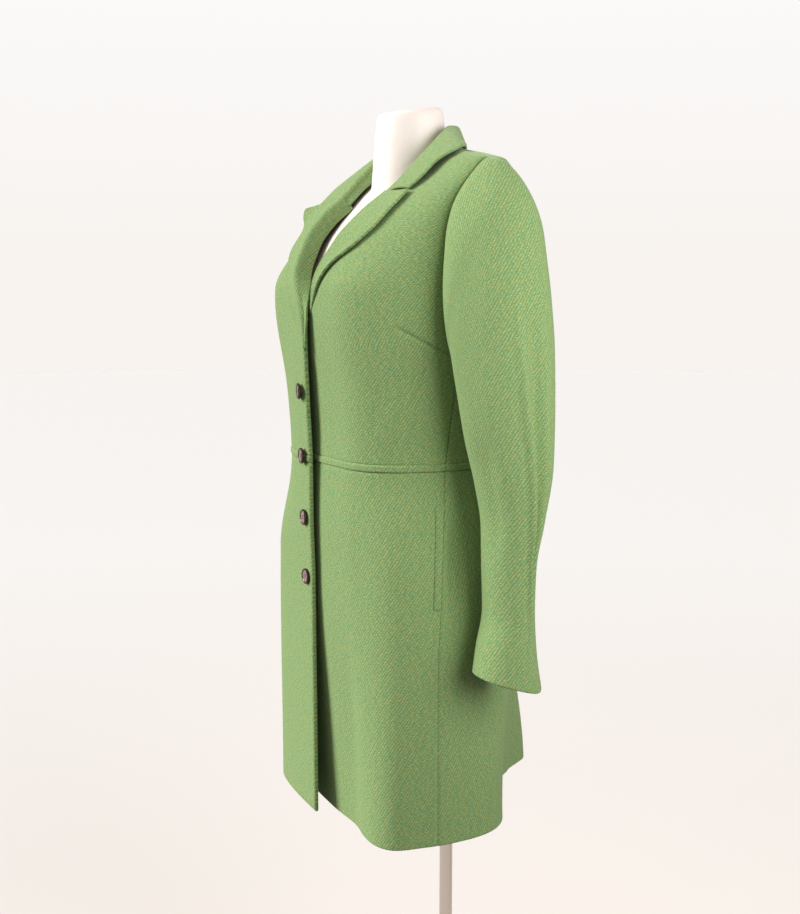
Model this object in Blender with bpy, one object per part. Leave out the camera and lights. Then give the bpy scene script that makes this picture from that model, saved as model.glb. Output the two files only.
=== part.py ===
"""Green wool coat on a limbless dress form with a pole and a round base.

Metres, +Z up, the wearer's front towards -Y and the wearer's left towards +X.
The pole's axis is x = y = 0 and the base's underside is z = 0.
Turn is the angle round the body in degrees: 0 at centre front, 90 at the left side, 180 at centre back.
"""
import math

import bmesh
import bpy
import numpy as np

for old in list(bpy.data.objects):
    bpy.data.objects.remove(old)

coat = bpy.data.collections.new("wool_coat_on_dress_form")
bpy.context.scene.collection.children.link(coat)

# Cloth and seam sizes
CLOTH = 0.0024
SEAM = 0.0004
HEM_Z = 0.520
WAIST_Z = 1.013
UNDERARM_Z = 1.165
SHOULDER_Z = 1.402
NECK_Z = 1.4235
OVERLAP = 0.019
SQUARENESS = 2.5

# Body sections: height, half width, y at centre front, y at the side, y at centre back
SECTIONS = np.array([
    (0.520, 0.193, -0.214, -0.075, 0.105),
    (0.680, 0.188, -0.214, -0.073, 0.096),
    (0.850, 0.180, -0.214, -0.069, 0.083),
    (0.935, 0.170, -0.213, -0.066, 0.068),
    (1.013, 0.160, -0.212, -0.064, 0.053),
    (1.106, 0.166, -0.215, -0.062, 0.060),
    (1.165, 0.172, -0.219, -0.060, 0.068),
    (1.236, 0.178, -0.218, -0.055, 0.074),
    (1.300, 0.182, -0.192, -0.048, 0.070),
    (1.335, 0.182, -0.163, -0.044, 0.062),
    (1.354, 0.182, -0.139, -0.043, 0.056),
    (1.385, 0.182, -0.094, -0.040, 0.044),
    (1.402, 0.178, -0.072, -0.038, 0.027),
    (1.410, 0.148, -0.060, -0.036, 0.013),
    (1.418, 0.098, -0.053, -0.034, 0.003),
    (1.426, 0.050, -0.048, -0.033, -0.002),
])

# Hollows (-) and flutes (+) of the skirt: turn and spread in degrees, depth at the hip and at the hem
FOLDS = [
    (140.0, 29.0, -0.012, -0.051),
    (187.0, 6.5, 0.006, 0.056),
    (-145.0, 28.0, -0.008, -0.030),
    (-44.0, 24.0, 0.020, 0.016),
    (56.0, 12.0, 0.004, 0.013),
]
HIP_Z = 0.870

# Bust fullness from the darts: turn and spread in degrees, rise; its height, and its spread above and below
BUST = [(32.0, 16.0, 0.008), (-34.0, 18.0, 0.018)]
BUST_Z = 1.236
BUST_ABOVE = 0.050
BUST_BELOW = 0.095

# Front edges above the waist: height, x of the left front's edge, x of the right front's edge
FRONT_EDGES = np.array([
    (1.010, -0.022, 0.025),
    (1.120, -0.020, 0.025),
    (1.165, -0.004, 0.025),
    (1.200, 0.013, 0.019),
    (1.231, 0.025, -0.0035),
    (1.264, 0.037, -0.030),
    (1.303, 0.055, -0.048),
    (1.335, 0.066, -0.059),
    (1.3735, 0.070, -0.064),
    (1.402, 0.064, -0.064),
    (1.412, 0.062, -0.062),
    (1.418, 0.058, -0.058),
    (1.426, 0.044, -0.044),
])

# Side seam: height, turn
SIDE_SEAM = np.array([
    (0.520, 80.0), (0.850, 80.2), (0.950, 81.5), (1.013, 85.0), (1.165, 88.0), (1.440, 88.0),
])

# How far the left front lies inside the right one: height, depth
UNDERLAP = np.array([
    (0.520, 0.030), (0.680, 0.020), (0.800, 0.009), (0.853, 0.0046), (1.106, 0.0046),
    (1.165, 0.0075), (1.200, 0.0085), (1.264, 0.0040), (1.320, 0.0), (1.440, 0.0),
])

# Hidden front edge of the left front below the waist: height, x
UNDER_EDGE = np.array([(0.520, -0.060), (0.680, -0.050), (0.800, -0.034), (0.920, -0.024), (1.013, -0.022)])

# Lapel outer edge: height, distance from centre front
LAPEL_EDGE = np.array([
    (1.1600, 0.0000), (1.2015, 0.0200), (1.2350, 0.0380), (1.2690, 0.0665), (1.2950, 0.1010),
    (1.3200, 0.1180), (1.3490, 0.1220), (1.3620, 0.1195),
])


def ease(table, column, at):
    """Smooth, non-overshooting curve through one column of a table."""
    xs = table[:, 0]
    ys = table[:, column]
    step = np.diff(xs)
    slope = np.diff(ys) / step
    tangent = np.zeros(len(xs))
    tangent[0] = slope[0]
    tangent[-1] = slope[-1]
    for i in range(1, len(xs) - 1):
        if slope[i - 1] * slope[i] > 0:
            tangent[i] = 2 * slope[i - 1] * slope[i] / (slope[i - 1] + slope[i])
    at = min(max(at, xs[0]), xs[-1])
    i = min(int(np.searchsorted(xs, at, side="right")) - 1, len(xs) - 2)
    t = (at - xs[i]) / step[i]
    rise = ys[i + 1] - ys[i]
    start = tangent[i] * step[i]
    end = tangent[i + 1] * step[i]
    return ys[i] + t * (start + t * (3 * rise - 2 * start - end + t * (start + end - 2 * rise)))


def fade(x, low, high):
    """Smooth step from 0 at low to 1 at high."""
    t = min(max((x - low) / (high - low), 0.0), 1.0)
    return t * t * (3 - 2 * t)


def bell(turn, centre, spread):
    """Bell curve of the angle between turn and centre."""
    apart = (turn - centre + 180.0) % 360.0 - 180.0
    return math.exp(-(apart / spread) ** 2)


def body(turn, height):
    """Point of the coat body's outer face."""
    half = ease(SECTIONS, 1, height)
    front = ease(SECTIONS, 2, height)
    side = ease(SECTIONS, 3, height)
    back = ease(SECTIONS, 4, height)
    sine = math.sin(math.radians(turn))
    cosine = math.cos(math.radians(turn))
    reach = (side - front) if cosine > 0 else (back - side)
    power = 2.0 / SQUARENESS
    across = math.copysign(abs(sine) ** power, sine)
    along = math.copysign(abs(cosine) ** power, -cosine)
    point = np.array([half * across, side + reach * along, height])
    steep = SQUARENESS - 1.0
    way_x = math.copysign(abs(across) ** steep, across) / half
    way_y = math.copysign(abs(along) ** steep, along) / reach
    way = np.array([way_x, way_y, 0.0])
    way /= np.linalg.norm(way)
    tall = BUST_ABOVE if height > BUST_Z else BUST_BELOW
    out = sum(rise * bell(turn, centre, spread) for centre, spread, rise in BUST)
    out *= math.exp(-((height - BUST_Z) / tall) ** 2)
    for centre, spread, at_hip, at_hem in FOLDS:
        low = 1.0 - fade(height, HEM_Z, HIP_Z)
        depth = at_hem * low + at_hip * (1.0 - low) * (1.0 - fade(height, HIP_Z, WAIST_Z))
        out += depth * bell(turn, centre, spread)
    return point + way * out


def turn_at(x, height):
    """Front turn at which the body lies x from the middle plane."""
    share = min(abs(x) / ease(SECTIONS, 1, height), 1.0)
    return math.copysign(math.degrees(math.asin(share ** (SQUARENESS / 2))), x)


def left_front(turn, height):
    """Body's face moved in where the right front laps over it."""
    point = body(turn, height)
    depth = ease(UNDERLAP, 1, height) * (1.0 - fade(turn, 12.0, 48.0))
    return point + np.array([0, depth, 0])


ARMHOLE_TURN = 91.0
ARMHOLE_Z = (SHOULDER_Z + UNDERARM_Z) / 2


def armhole(around):
    """Turn and height of the left armhole: around is 0 at the shoulder, 90 at the front, 180 at the underarm.

    The front half is cut wider towards the shoulder than the back half.
    """
    sine = math.sin(math.radians(around))
    cosine = math.cos(math.radians(around))
    width = 14.5 + 7.0 * cosine + 7.0 * cosine ** 2 if sine > 0 else 14.0 + 4.0 * cosine
    return ARMHOLE_TURN - width * sine, ARMHOLE_Z + (SHOULDER_Z - UNDERARM_Z) / 2 * cosine


def armhole_turn(height, front):
    """Turn of the armhole's front or back half at a height."""
    share = (height - ARMHOLE_Z) * 2 / (SHOULDER_Z - UNDERARM_Z)
    around = math.degrees(math.acos(min(max(share, -1.0), 1.0)))
    return armhole(around if front else -around)[0]


# Sleeve stations: share of the way down, then x, y, z of the outer line, x, y, z of the inner line,
# y of the front line and y of the back line
SLEEVE = np.array([
    (0.00, 0.178, -0.039, 1.402, 0.174, -0.060, 1.166, -0.100, -0.008),
    (0.03, 0.195, -0.038, 1.408, 0.178, -0.058, 1.160, -0.108, 0.010),
    (0.07, 0.214, -0.036, 1.400, 0.182, -0.057, 1.152, -0.110, 0.017),
    (0.12, 0.231, -0.035, 1.373, 0.185, -0.056, 1.142, -0.108, 0.023),
    (0.19, 0.246, -0.036, 1.324, 0.187, -0.055, 1.128, -0.104, 0.024),
    (0.27, 0.258, -0.036, 1.262, 0.189, -0.053, 1.108, -0.101, 0.026),
    (0.36, 0.265, -0.034, 1.192, 0.190, -0.050, 1.080, -0.095, 0.027),
    (0.46, 0.269, -0.030, 1.112, 0.190, -0.044, 1.040, -0.086, 0.026),
    (0.57, 0.270, -0.024, 1.030, 0.190, -0.034, 0.990, -0.072, 0.023),
    (0.67, 0.267, -0.021, 0.956, 0.190, -0.027, 0.940, -0.063, 0.012),
    (0.76, 0.264, -0.023, 0.895, 0.190, -0.026, 0.890, -0.062, 0.001),
    (0.84, 0.265, -0.023, 0.840, 0.190, -0.024, 0.840, -0.061, -0.001),
    (0.92, 0.268, -0.027, 0.790, 0.190, -0.027, 0.790, -0.070, 0.003),
    (1.00, 0.272, -0.030, 0.742, 0.191, -0.030, 0.745, -0.077, 0.011),
])


# The sleeve's head, shrunk to sit just inside the armhole: in turn, and in height above and below its middle
HEAD_TURN = 0.97
HEAD_UPPER = 0.991
HEAD_LOWER = 0.983
HEAD_SHARE = 0.16

# The cuff's edge rises towards the front: height for each metre forward
CUFF_TILT = 0.30


def sleeve(around, down):
    """Point of the left sleeve's outer face; down is 0 at the armhole and 1 at the cuff."""
    row = [ease(SLEEVE, i, down) for i in range(1, 9)]
    outer = np.array(row[0:3])
    inner = np.array(row[3:6])
    middle = (outer + inner) / 2
    sine = math.sin(math.radians(around))
    cosine = math.cos(math.radians(around))
    sidle = row[6] - middle[1] if sine > 0 else row[7] - middle[1]
    point = middle + (outer - inner) / 2 * math.copysign(abs(cosine) ** 0.9, cosine)
    lean = sidle * abs(sine) ** 0.9
    point = point + np.array([0, lean, -CUFF_TILT * lean * fade(down, 0.85, 1.0)])
    turn, height = armhole(around)
    shrink = HEAD_UPPER if height > ARMHOLE_Z else HEAD_LOWER
    set_in = body(ARMHOLE_TURN + (turn - ARMHOLE_TURN) * HEAD_TURN, ARMHOLE_Z + (height - ARMHOLE_Z) * shrink)
    share = fade(down, 0.0, HEAD_SHARE)
    return set_in * (1 - share) + point * share


def facing(face, turn, height):
    """Unit normal of face(turn, height) by small differences."""
    across = face(turn + 0.4, height) - face(turn - 0.4, height)
    along = face(turn, height + 0.002) - face(turn, height - 0.002)
    out = np.cross(across, along)
    return out / np.linalg.norm(out)


def normals(grid):
    """Unit normals of a grid of points by differences along its rows and columns."""
    along = np.gradient(grid, axis=0)
    across = np.gradient(grid, axis=1)
    out = np.cross(across, along)
    return out / np.linalg.norm(out, axis=2, keepdims=True)


def solid(name, outer, inner, material):
    """Closed solid between two grids of the same shape."""
    rows, cols = outer.shape[:2]
    mesh = bmesh.new()
    top = [[mesh.verts.new(outer[i, j]) for j in range(cols)] for i in range(rows)]
    low = [[mesh.verts.new(inner[i, j]) for j in range(cols)] for i in range(rows)]
    for i in range(rows - 1):
        for j in range(cols - 1):
            mesh.faces.new((top[i][j], top[i][j + 1], top[i + 1][j + 1], top[i + 1][j]))
            mesh.faces.new((low[i][j], low[i + 1][j], low[i + 1][j + 1], low[i][j + 1]))
    edge = [(0, j) for j in range(cols - 1)] + [(i, cols - 1) for i in range(rows - 1)]
    edge += [(rows - 1, j) for j in range(cols - 1, 0, -1)] + [(i, 0) for i in range(rows - 1, 0, -1)]
    for (i, j), (k, m) in zip(edge, edge[1:] + edge[:1]):
        mesh.faces.new((top[k][m], top[i][j], low[i][j], low[k][m]))
    return finish(name, mesh, material)


def finish(name, mesh, material):
    """Triangulate, turn the faces outwards and link the object."""
    bmesh.ops.triangulate(mesh, faces=mesh.faces[:])
    bmesh.ops.recalc_face_normals(mesh, faces=mesh.faces[:])
    if mesh.calc_volume(signed=True) < 0:
        bmesh.ops.reverse_faces(mesh, faces=mesh.faces[:])
    data = bpy.data.meshes.new(name)
    mesh.to_mesh(data)
    mesh.free()
    data.materials.append(material)
    thing = bpy.data.objects.new(name, data)
    coat.objects.link(thing)
    return thing


def paint(name, colour, roughness, metal=0.0):
    """Principled material with a plain colour."""
    material = bpy.data.materials.new(name)
    material.use_nodes = True
    shader = material.node_tree.nodes["Principled BSDF"]
    shader.inputs["Base Color"].default_value = (*colour, 1.0)
    shader.inputs["Roughness"].default_value = roughness
    shader.inputs["Metallic"].default_value = metal
    return material


def panel(face, heights, start, end, cols):
    """Points and normals of face(turn, height) between two edges that change with the height."""
    spots = [[(start(z) + (end(z) - start(z)) * j / cols, z) for j in range(cols + 1)] for z in heights]
    grid = np.array([[face(*spot) for spot in row] for row in spots])
    return grid, np.array([[facing(face, *spot) for spot in row] for row in spots])


def gap_turn(height):
    """Half a seam gap as an angle."""
    return math.degrees(SEAM / 2 / ease(SECTIONS, 1, height))


wool = paint("green wool twill", (0.24, 0.36, 0.14), 0.95)
horn = paint("brown button plastic", (0.09, 0.05, 0.04), 0.4)
shell = paint("white form plastic", (0.9, 0.88, 0.86), 0.5)
steel = paint("polished steel", (0.7, 0.7, 0.7), 0.25, 1.0)

# Bodice: the raised waist welt ends at the second row, and rows crowd at the underarm and the shoulder
WELT = 0.0010
BODICE_ROWS = [
    WAIST_Z + SEAM / 2, 1.0205, 1.022, 1.060, 1.105, 1.140, 1.1645, 1.1672, 1.1708, 1.178, 1.193, 1.215,
    1.243, 1.272, 1.300, 1.325, 1.348, 1.368, 1.385, 1.396, 1.4005, 1.4030, 1.407, 1.412, 1.418, NECK_Z,
]
SKIRT_ROWS = list(np.linspace(HEM_Z, WAIST_Z - SEAM / 2, 11))


def side_edge(height, front):
    """End of a bodice panel: side seam, then armhole, then shoulder seam."""
    step = gap_turn(height) * (-1.5 if front else 1.5)
    if height <= UNDERARM_Z:
        return ease(SIDE_SEAM, 1, height) + step
    if height >= SHOULDER_Z:
        return 90.0 + step * 2
    ends = armhole_turn(height, front) + step
    blend = fade(height, UNDERARM_Z, UNDERARM_Z + 0.004)
    return ends * blend + (ease(SIDE_SEAM, 1, height) + step) * (1 - blend)


def bodice(name, grid, out):
    """Bodice panel with the raised waist welt along its lowest rows."""
    raised = grid.copy()
    raised[0:2] += out[0:2] * WELT
    return solid(name, raised, grid - out * CLOTH, wool)


bodice("bodice_front_left", *panel(
    left_front, BODICE_ROWS, lambda z: turn_at(ease(FRONT_EDGES, 1, z), z), lambda z: side_edge(z, True), 11))
bodice("bodice_front_right", *panel(
    body, BODICE_ROWS, lambda z: -side_edge(z, True), lambda z: turn_at(ease(FRONT_EDGES, 2, z), z), 11))
bodice("bodice_back", *panel(
    body, BODICE_ROWS, lambda z: side_edge(z, False), lambda z: 360.0 - side_edge(z, False), 15))


def seam_turn(height, front):
    """Side seam of the skirt."""
    return ease(SIDE_SEAM, 1, height) + gap_turn(height) * (-1 if front else 1)


grid, out = panel(
    left_front, SKIRT_ROWS, lambda z: turn_at(ease(UNDER_EDGE, 1, z), z), lambda z: seam_turn(z, True), 12)
solid("skirt_front_left", grid, grid - out * CLOTH, wool)
grid, out = panel(body, SKIRT_ROWS, lambda z: -seam_turn(z, True), lambda z: turn_at(OVERLAP, z), 12)
solid("skirt_front_right", grid, grid - out * CLOTH, wool)
grid, out = panel(body, SKIRT_ROWS, lambda z: seam_turn(z, False), lambda z: 360.0 - seam_turn(z, False), 26)
solid("skirt_back", grid, grid - out * CLOTH, wool)


def mirrored(grid):
    """Grid of the right-hand piece, kept facing outwards."""
    return grid[:, ::-1] * np.array([-1, 1, 1])


SLEEVE_ROWS = [0, 0.012, 0.03, 0.06, 0.10, 0.15, 0.21, 0.28, 0.36, 0.46, 0.57, 0.67, 0.76, 0.84, 0.92, 1.0]
FRONT_SEAM = 138.0
HIND_SEAM = -112.0
SPLIT = 0.6
for name, first, last, cols in (
    ("top", HIND_SEAM, FRONT_SEAM, 13),
    ("under", FRONT_SEAM, HIND_SEAM + 360.0, 6),
):
    turns = np.linspace(first + SPLIT / 2, last - SPLIT / 2, cols + 1)
    grid = np.array([[sleeve(a, v) for a in turns] for v in SLEEVE_ROWS])
    inside = grid - np.array([[facing(sleeve, a, v) for a in turns] for v in SLEEVE_ROWS]) * CLOTH
    solid(f"sleeve_{name}_left", grid, inside, wool)
    solid(f"sleeve_{name}_right", mirrored(grid), mirrored(inside), wool)

# Lapel section: share of the width from the roll edge, height of its outer face above the front
LAPEL_CLOTH = 0.0030
LAPEL_PROFILE = [
    (-0.055, -0.0010), (-0.09, 0.0012), (-0.06, 0.0038), (0.02, 0.0052),
    (0.25, 0.0050), (0.5, 0.0046), (0.75, 0.0042), (1.0, 0.0042),
]
LAPEL_ROWS = [1.2245, 1.2310, 1.240, 1.256, 1.271, 1.286, 1.301, 1.316, 1.332, 1.347, 1.3585]
LAPEL_SPRING = 0.0025


def lapel(name, hand, edge_column, low_rows, stand, stand_from):
    """Turned-back facing: curls round the roll edge of the front and lies on it to the lapel's outer edge.

    Its upper end stands off the chest by the vector stand, more and more above stand_from.
    """
    face = left_front if hand > 0 else body
    rows = []
    for height in low_rows + LAPEL_ROWS:
        roll_x = ease(FRONT_EDGES, edge_column, height) * hand
        taper = 0.1 + 0.9 * fade(height, low_rows[0], low_rows[0] + 0.045)
        wide = (ease(LAPEL_EDGE, 1, height) - roll_x) * taper
        row = []
        for share, lift in LAPEL_PROFILE:
            x = roll_x + wide * max(share, 0.0) + (share * 0.05 if share < 0 else 0.0)
            turn = turn_at(x * hand, height)
            rise = np.array(stand) * fade(height, stand_from, LAPEL_ROWS[-1]) * max(share, 0.0) ** 1.5
            out = facing(face, turn, height) * (lift + LAPEL_SPRING * max(share, 0.0) ** 2)
            row.append(face(turn, height) + out + rise)
        rows.append(row)
    grid = np.array(rows)
    if hand < 0:
        grid = grid[:, ::-1]
    solid(name, grid, grid - normals(grid) * LAPEL_CLOTH, wool)


lapel("lapel_left", 1, 1, [1.209, 1.216], (0.0, -0.002, 0.0), 1.265)
lapel("lapel_right", -1, 2, [1.165, 1.180, 1.196, 1.207, 1.216], (0.0, -0.038, -0.016), 1.300)

# Collar lines from centre back to the left front: x, y, z of the neck seam, of the fold and of the outer edge
COLLAR = np.array([
    (0.00, 0.000, -0.0015, 1.4242, 0.000, 0.000, 1.4530, 0.000, 0.018, 1.4125),
    (0.20, 0.026, -0.0030, 1.4242, 0.026, -0.008, 1.4530, 0.040, 0.011, 1.4155),
    (0.40, 0.048, -0.0100, 1.4243, 0.048, -0.029, 1.4510, 0.085, -0.009, 1.4200),
    (0.52, 0.0605, -0.0250, 1.4246, 0.061, -0.046, 1.4430, 0.113, -0.034, 1.4200),
    (0.64, 0.0550, -0.0500, 1.4248, 0.067, -0.066, 1.4315, 0.124, -0.062, 1.4110),
    (0.76, 0.0600, -0.0710, 1.4045, 0.067, -0.086, 1.4110, 0.1215, -0.080, 1.4000),
    (0.88, 0.0590, -0.0940, 1.3835, 0.065, -0.108, 1.3885, 0.121, -0.100, 1.3820),
    (1.00, 0.0510, -0.1220, 1.3625, 0.060, -0.130, 1.3675, 0.115, -0.1190, 1.3690),
])
COLLAR_STAND = np.array([0.0, -0.034, -0.014])
BEND = 0.0040
FALL_BULGE = 0.003
stations = np.concatenate([-np.linspace(1, 0.0, 13)[:-1], np.linspace(0, 1, 13)])
rows = []
for station in stations:
    line = [ease(COLLAR, i, abs(station)) for i in range(1, 10)]
    hand = np.array([-1.0 if station < 0 else 1.0, 1, 1])
    seam = np.array(line[0:3]) * hand
    fold = np.array(line[3:6]) * hand
    edge = np.array(line[6:9]) * hand
    if station < 0:
        edge += COLLAR_STAND * fade(-station, 0.45, 0.90)
    away = edge - fold
    away[2] = 0
    away /= np.linalg.norm(away)
    up = np.array([0, 0, 1.0])
    crown = fold + away * BEND - up * BEND
    row = [seam, seam * 0.45 + (fold - up * BEND) * 0.55]
    row += [crown - away * BEND * math.cos(t) + up * BEND * math.sin(t) for t in (0.0, 0.8, 1.57, 2.35, 3.0)]
    start = row[-1]
    row += [start + (edge - start) * t + up * FALL_BULGE * math.sin(math.pi * t) for t in (0.33, 0.66, 1.0)]
    rows.append(row)
grid = np.array(rows)
out = normals(grid)
solid("collar", grid + out * CLOTH / 2, grid - out * CLOTH / 2, wool)

# Buttons down centre front, on the right front: heights, and the turned half profile as radius and height
BUTTON_Z = (1.106, 1.019, 0.935, 0.853)
BUTTON_SIDES = 18
BUTTON_LIFT = 0.0006
BUTTON = [
    (0.0000, 0.0000), (0.0100, 0.0000), (0.0108, 0.0012), (0.0105, 0.0032),
    (0.0092, 0.0038), (0.0080, 0.0028), (0.0000, 0.0026),
]
for number, height in enumerate(BUTTON_Z, 1):
    across = body(1.0, height) - body(-1.0, height)
    across /= np.linalg.norm(across)
    rise = body(0.0, height + 0.004) - body(0.0, height - 0.004)
    rise /= np.linalg.norm(rise)
    way_out = np.cross(across, rise)
    lift = BUTTON_LIFT + (WELT if abs(height - WAIST_Z) < BUTTON[2][0] else 0.0)
    centre = body(0.0, height) + way_out * lift
    mesh = bmesh.new()
    low = mesh.verts.new(centre)
    top = mesh.verts.new(centre + way_out * BUTTON[-1][1])
    rings = []
    for radius, depth in BUTTON[1:-1]:
        ring = []
        for k in range(BUTTON_SIDES):
            angle = math.tau * k / BUTTON_SIDES
            way = across * math.cos(angle) + rise * math.sin(angle)
            ring.append(mesh.verts.new(centre + way * radius + way_out * depth))
        rings.append(ring)
    for k in range(BUTTON_SIDES):
        m = (k + 1) % BUTTON_SIDES
        mesh.faces.new((low, rings[0][m], rings[0][k]))
        mesh.faces.new((top, rings[-1][k], rings[-1][m]))
        for first, second in zip(rings, rings[1:]):
            mesh.faces.new((first[k], first[m], second[m], second[k]))
    finish(f"button_{number}", mesh, horn)

# Pocket welts: strips lifted off the skirt fronts, from one turn to another before the side seam
POCKET_ROWS = np.linspace(0.828, 0.966, 7)
POCKET_TURNS = (3.9, 0.5)
POCKET_LIFT = 0.0004
POCKET_CLOTH = 0.0012
for side, face, hand in (("left", left_front, 1), ("right", body, -1)):
    near, far = POCKET_TURNS if hand > 0 else POCKET_TURNS[::-1]
    strip, out = panel(
        face, POCKET_ROWS,
        lambda z: (ease(SIDE_SEAM, 1, z) - near) * hand, lambda z: (ease(SIDE_SEAM, 1, z) - far) * hand, 2)
    solid(f"pocket_welt_{side}", strip + out * (POCKET_LIFT + POCKET_CLOTH), strip + out * POCKET_LIFT, wool)

# Dress form: inset of its face from the coat's outer face by height
FORM = np.array([
    (0.800, 0.024), (0.935, 0.022), (1.013, 0.020), (1.106, 0.021), (1.165, 0.022), (1.236, 0.023),
    (1.300, 0.023), (1.335, 0.021), (1.354, 0.017), (1.371, 0.012), (1.388, 0.008),
    (1.402, 0.0036), (1.440, 0.0036),
])
LEVEL_BELOW = 1.2


def torso(turn, height):
    """Point of the form's face, inside the coat."""
    point = body(turn, height) - facing(body, turn, height) * ease(FORM, 1, height)
    if height < LEVEL_BELOW:
        point[2] = height
    return point


def closed_loft(name, rings, material):
    """Solid through closed rings, capped with a fan at each end."""
    mesh = bmesh.new()
    loops = [[mesh.verts.new(p) for p in ring] for ring in rings]
    count = len(loops[0])
    for first, second in zip(loops, loops[1:]):
        for k in range(count):
            m = (k + 1) % count
            mesh.faces.new((first[k], first[m], second[m], second[k]))
    for loop in (loops[0], loops[-1]):
        hub = mesh.verts.new(sum((v.co for v in loop), loop[0].co * 0) / count)
        for k in range(count):
            mesh.faces.new((hub, loop[k], loop[(k + 1) % count]))
    return finish(name, mesh, material)


TORSO_SIDES = 30
TORSO_ROWS = [
    0.80, 0.86, 0.935, 1.013, 1.07, 1.12, 1.165, 1.20, 1.236, 1.27, 1.30, 1.325, 1.348, 1.368, 1.385, 1.396,
    1.402, 1.406, 1.411, 1.418,
]
rings = [[torso(360.0 * k / TORSO_SIDES, z) for k in range(TORSO_SIDES)] for z in TORSO_ROWS]
form = closed_loft("form_torso", rings, shell)

# Neck of the form: height and radius of its rings, which rise towards the back
NECK = [(1.340, 0.056), (1.400, 0.051), (1.430, 0.0495), (1.450, 0.0475), (1.470, 0.0420), (1.474, 0.0395)]
NECK_SIDES = 24
NECK_AXIS_Y = -0.060
NECK_OVAL = 0.96
NECK_SLOPE = 0.12
rings = []
for height, radius in NECK:
    ring = []
    for k in range(NECK_SIDES):
        angle = math.tau * k / NECK_SIDES
        back = radius * math.sin(angle)
        ring.append((radius * NECK_OVAL * math.cos(angle), NECK_AXIS_Y + back, height + NECK_SLOPE * back))
    rings.append(ring)
neck = closed_loft("form_neck", rings, shell)
join = form.modifiers.new("neck", "BOOLEAN")
join.operation = "UNION"
join.solver = "EXACT"
join.object = neck
bpy.context.view_layer.update()
whole = bpy.data.meshes.new_from_object(form.evaluated_get(bpy.context.evaluated_depsgraph_get()))
form.modifiers.clear()
form.data = whole
bpy.data.objects.remove(neck)

# Stand: pole under the form and a round plate under the pole
POLE_R = 0.0095
BASE_R = 0.180
BASE_H = 0.010
BASE_EDGE = 0.002
STAND_GAP = 0.0003
STAND_SIDES = 40
ROUND = [math.tau * k / STAND_SIDES for k in range(STAND_SIDES)]
POLE = [(POLE_R, BASE_H + STAND_GAP), (POLE_R, TORSO_ROWS[0] - STAND_GAP)]
BASE = [
    (BASE_R - BASE_EDGE, 0.0), (BASE_R, BASE_EDGE),
    (BASE_R, BASE_H - BASE_EDGE), (BASE_R - BASE_EDGE, BASE_H),
]
for name, outline in (("stand_pole", POLE), ("stand_base", BASE)):
    rings = [[(r * math.cos(angle), r * math.sin(angle), z) for angle in ROUND] for r, z in outline]
    closed_loft(name, rings, steel)
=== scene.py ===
"""Green wool coat on a limbless dress form: the finish of every piece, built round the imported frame.

Metres, +Z up, the wearer's front towards -Y and the wearer's left towards +X.
Turn is the angle round the body in degrees: 0 at centre front, 90 at the left side, 180 at centre back.
"""
import math

import bmesh
import bpy
import numpy as np
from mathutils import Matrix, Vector


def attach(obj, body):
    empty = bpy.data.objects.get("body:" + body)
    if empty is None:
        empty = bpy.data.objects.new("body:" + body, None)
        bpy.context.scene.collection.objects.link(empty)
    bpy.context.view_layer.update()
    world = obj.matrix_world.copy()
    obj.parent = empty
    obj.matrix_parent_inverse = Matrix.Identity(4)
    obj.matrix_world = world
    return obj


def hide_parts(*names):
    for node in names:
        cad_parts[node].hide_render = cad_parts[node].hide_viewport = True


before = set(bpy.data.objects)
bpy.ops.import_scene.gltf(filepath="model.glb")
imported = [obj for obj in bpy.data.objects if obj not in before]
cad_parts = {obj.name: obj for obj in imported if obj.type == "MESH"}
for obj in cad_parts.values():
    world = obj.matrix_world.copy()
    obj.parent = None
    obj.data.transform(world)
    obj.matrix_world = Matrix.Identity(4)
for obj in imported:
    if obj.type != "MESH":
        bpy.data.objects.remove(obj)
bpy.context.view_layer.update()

# Camera: upright frame, at chest height, to the wearer's front left and tilted a little down.
# The lens and the distance come from the pole's width, the hem and the shoulder in the photograph.
AZIMUTH = math.radians(65.0)
TILT = math.radians(8.4)
LENS_MM = 52.4
EYE_Z = 1.276
EYE_AWAY = 1.86
EYE_ASIDE = 0.068
image_right = Vector((math.cos(AZIMUTH), math.sin(AZIMUTH), 0.0))
ahead = Vector((-math.sin(AZIMUTH), math.cos(AZIMUTH), 0.0))
camera = bpy.data.objects.new("camera", bpy.data.cameras.new("camera"))
camera.data.sensor_width = 36.0
camera.data.lens = LENS_MM
camera.location = Vector((0.0, 0.0, EYE_Z)) - ahead * EYE_AWAY - image_right * EYE_ASIDE
camera.rotation_euler = (math.pi / 2 - TILT, 0.0, AZIMUTH)
bpy.context.scene.collection.objects.link(camera)
bpy.context.scene.camera = camera
bpy.context.scene.view_settings.view_transform = "Standard"

# Studio: a wide pale paper floor that runs into an even, nearly white surround.
# A very large softbox stands at the wearer's right front, and a square one at the left fills the shade.
# The softboxes and the surround alone light the coat: the paper throws no diffuse light back on it.


def tint(code):
    """Linear colour of an sRGB hex code."""
    parts = [int(code[i:i + 2], 16) / 255 for i in (1, 3, 5)]
    return (*[c / 12.92 if c <= 0.04045 else ((c + 0.055) / 1.055) ** 2.4 for c in parts], 1.0)


def add(tree, kind, sockets=None, **settings):
    """New node: settings are its properties, sockets its inputs by name or number, as a value or a link."""
    made = tree.nodes.new(kind)
    for name, value in settings.items():
        setattr(made, name, value)
    for key, value in (sockets or {}).items():
        if isinstance(value, bpy.types.NodeSocket):
            tree.links.new(value, made.inputs[key])
        else:
            made.inputs[key].default_value = value
    return made


def material(name):
    """Material with a bare Principled shader, and its node tree."""
    made = bpy.data.materials.new(name)
    made.use_nodes = True
    return made, made.node_tree, made.node_tree.nodes["Principled BSDF"]


surround = bpy.data.worlds.new("surround")
surround.use_nodes = True
tree = surround.node_tree
sky = tree.nodes["Background"]
sky.inputs["Strength"].default_value = 0.50

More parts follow.
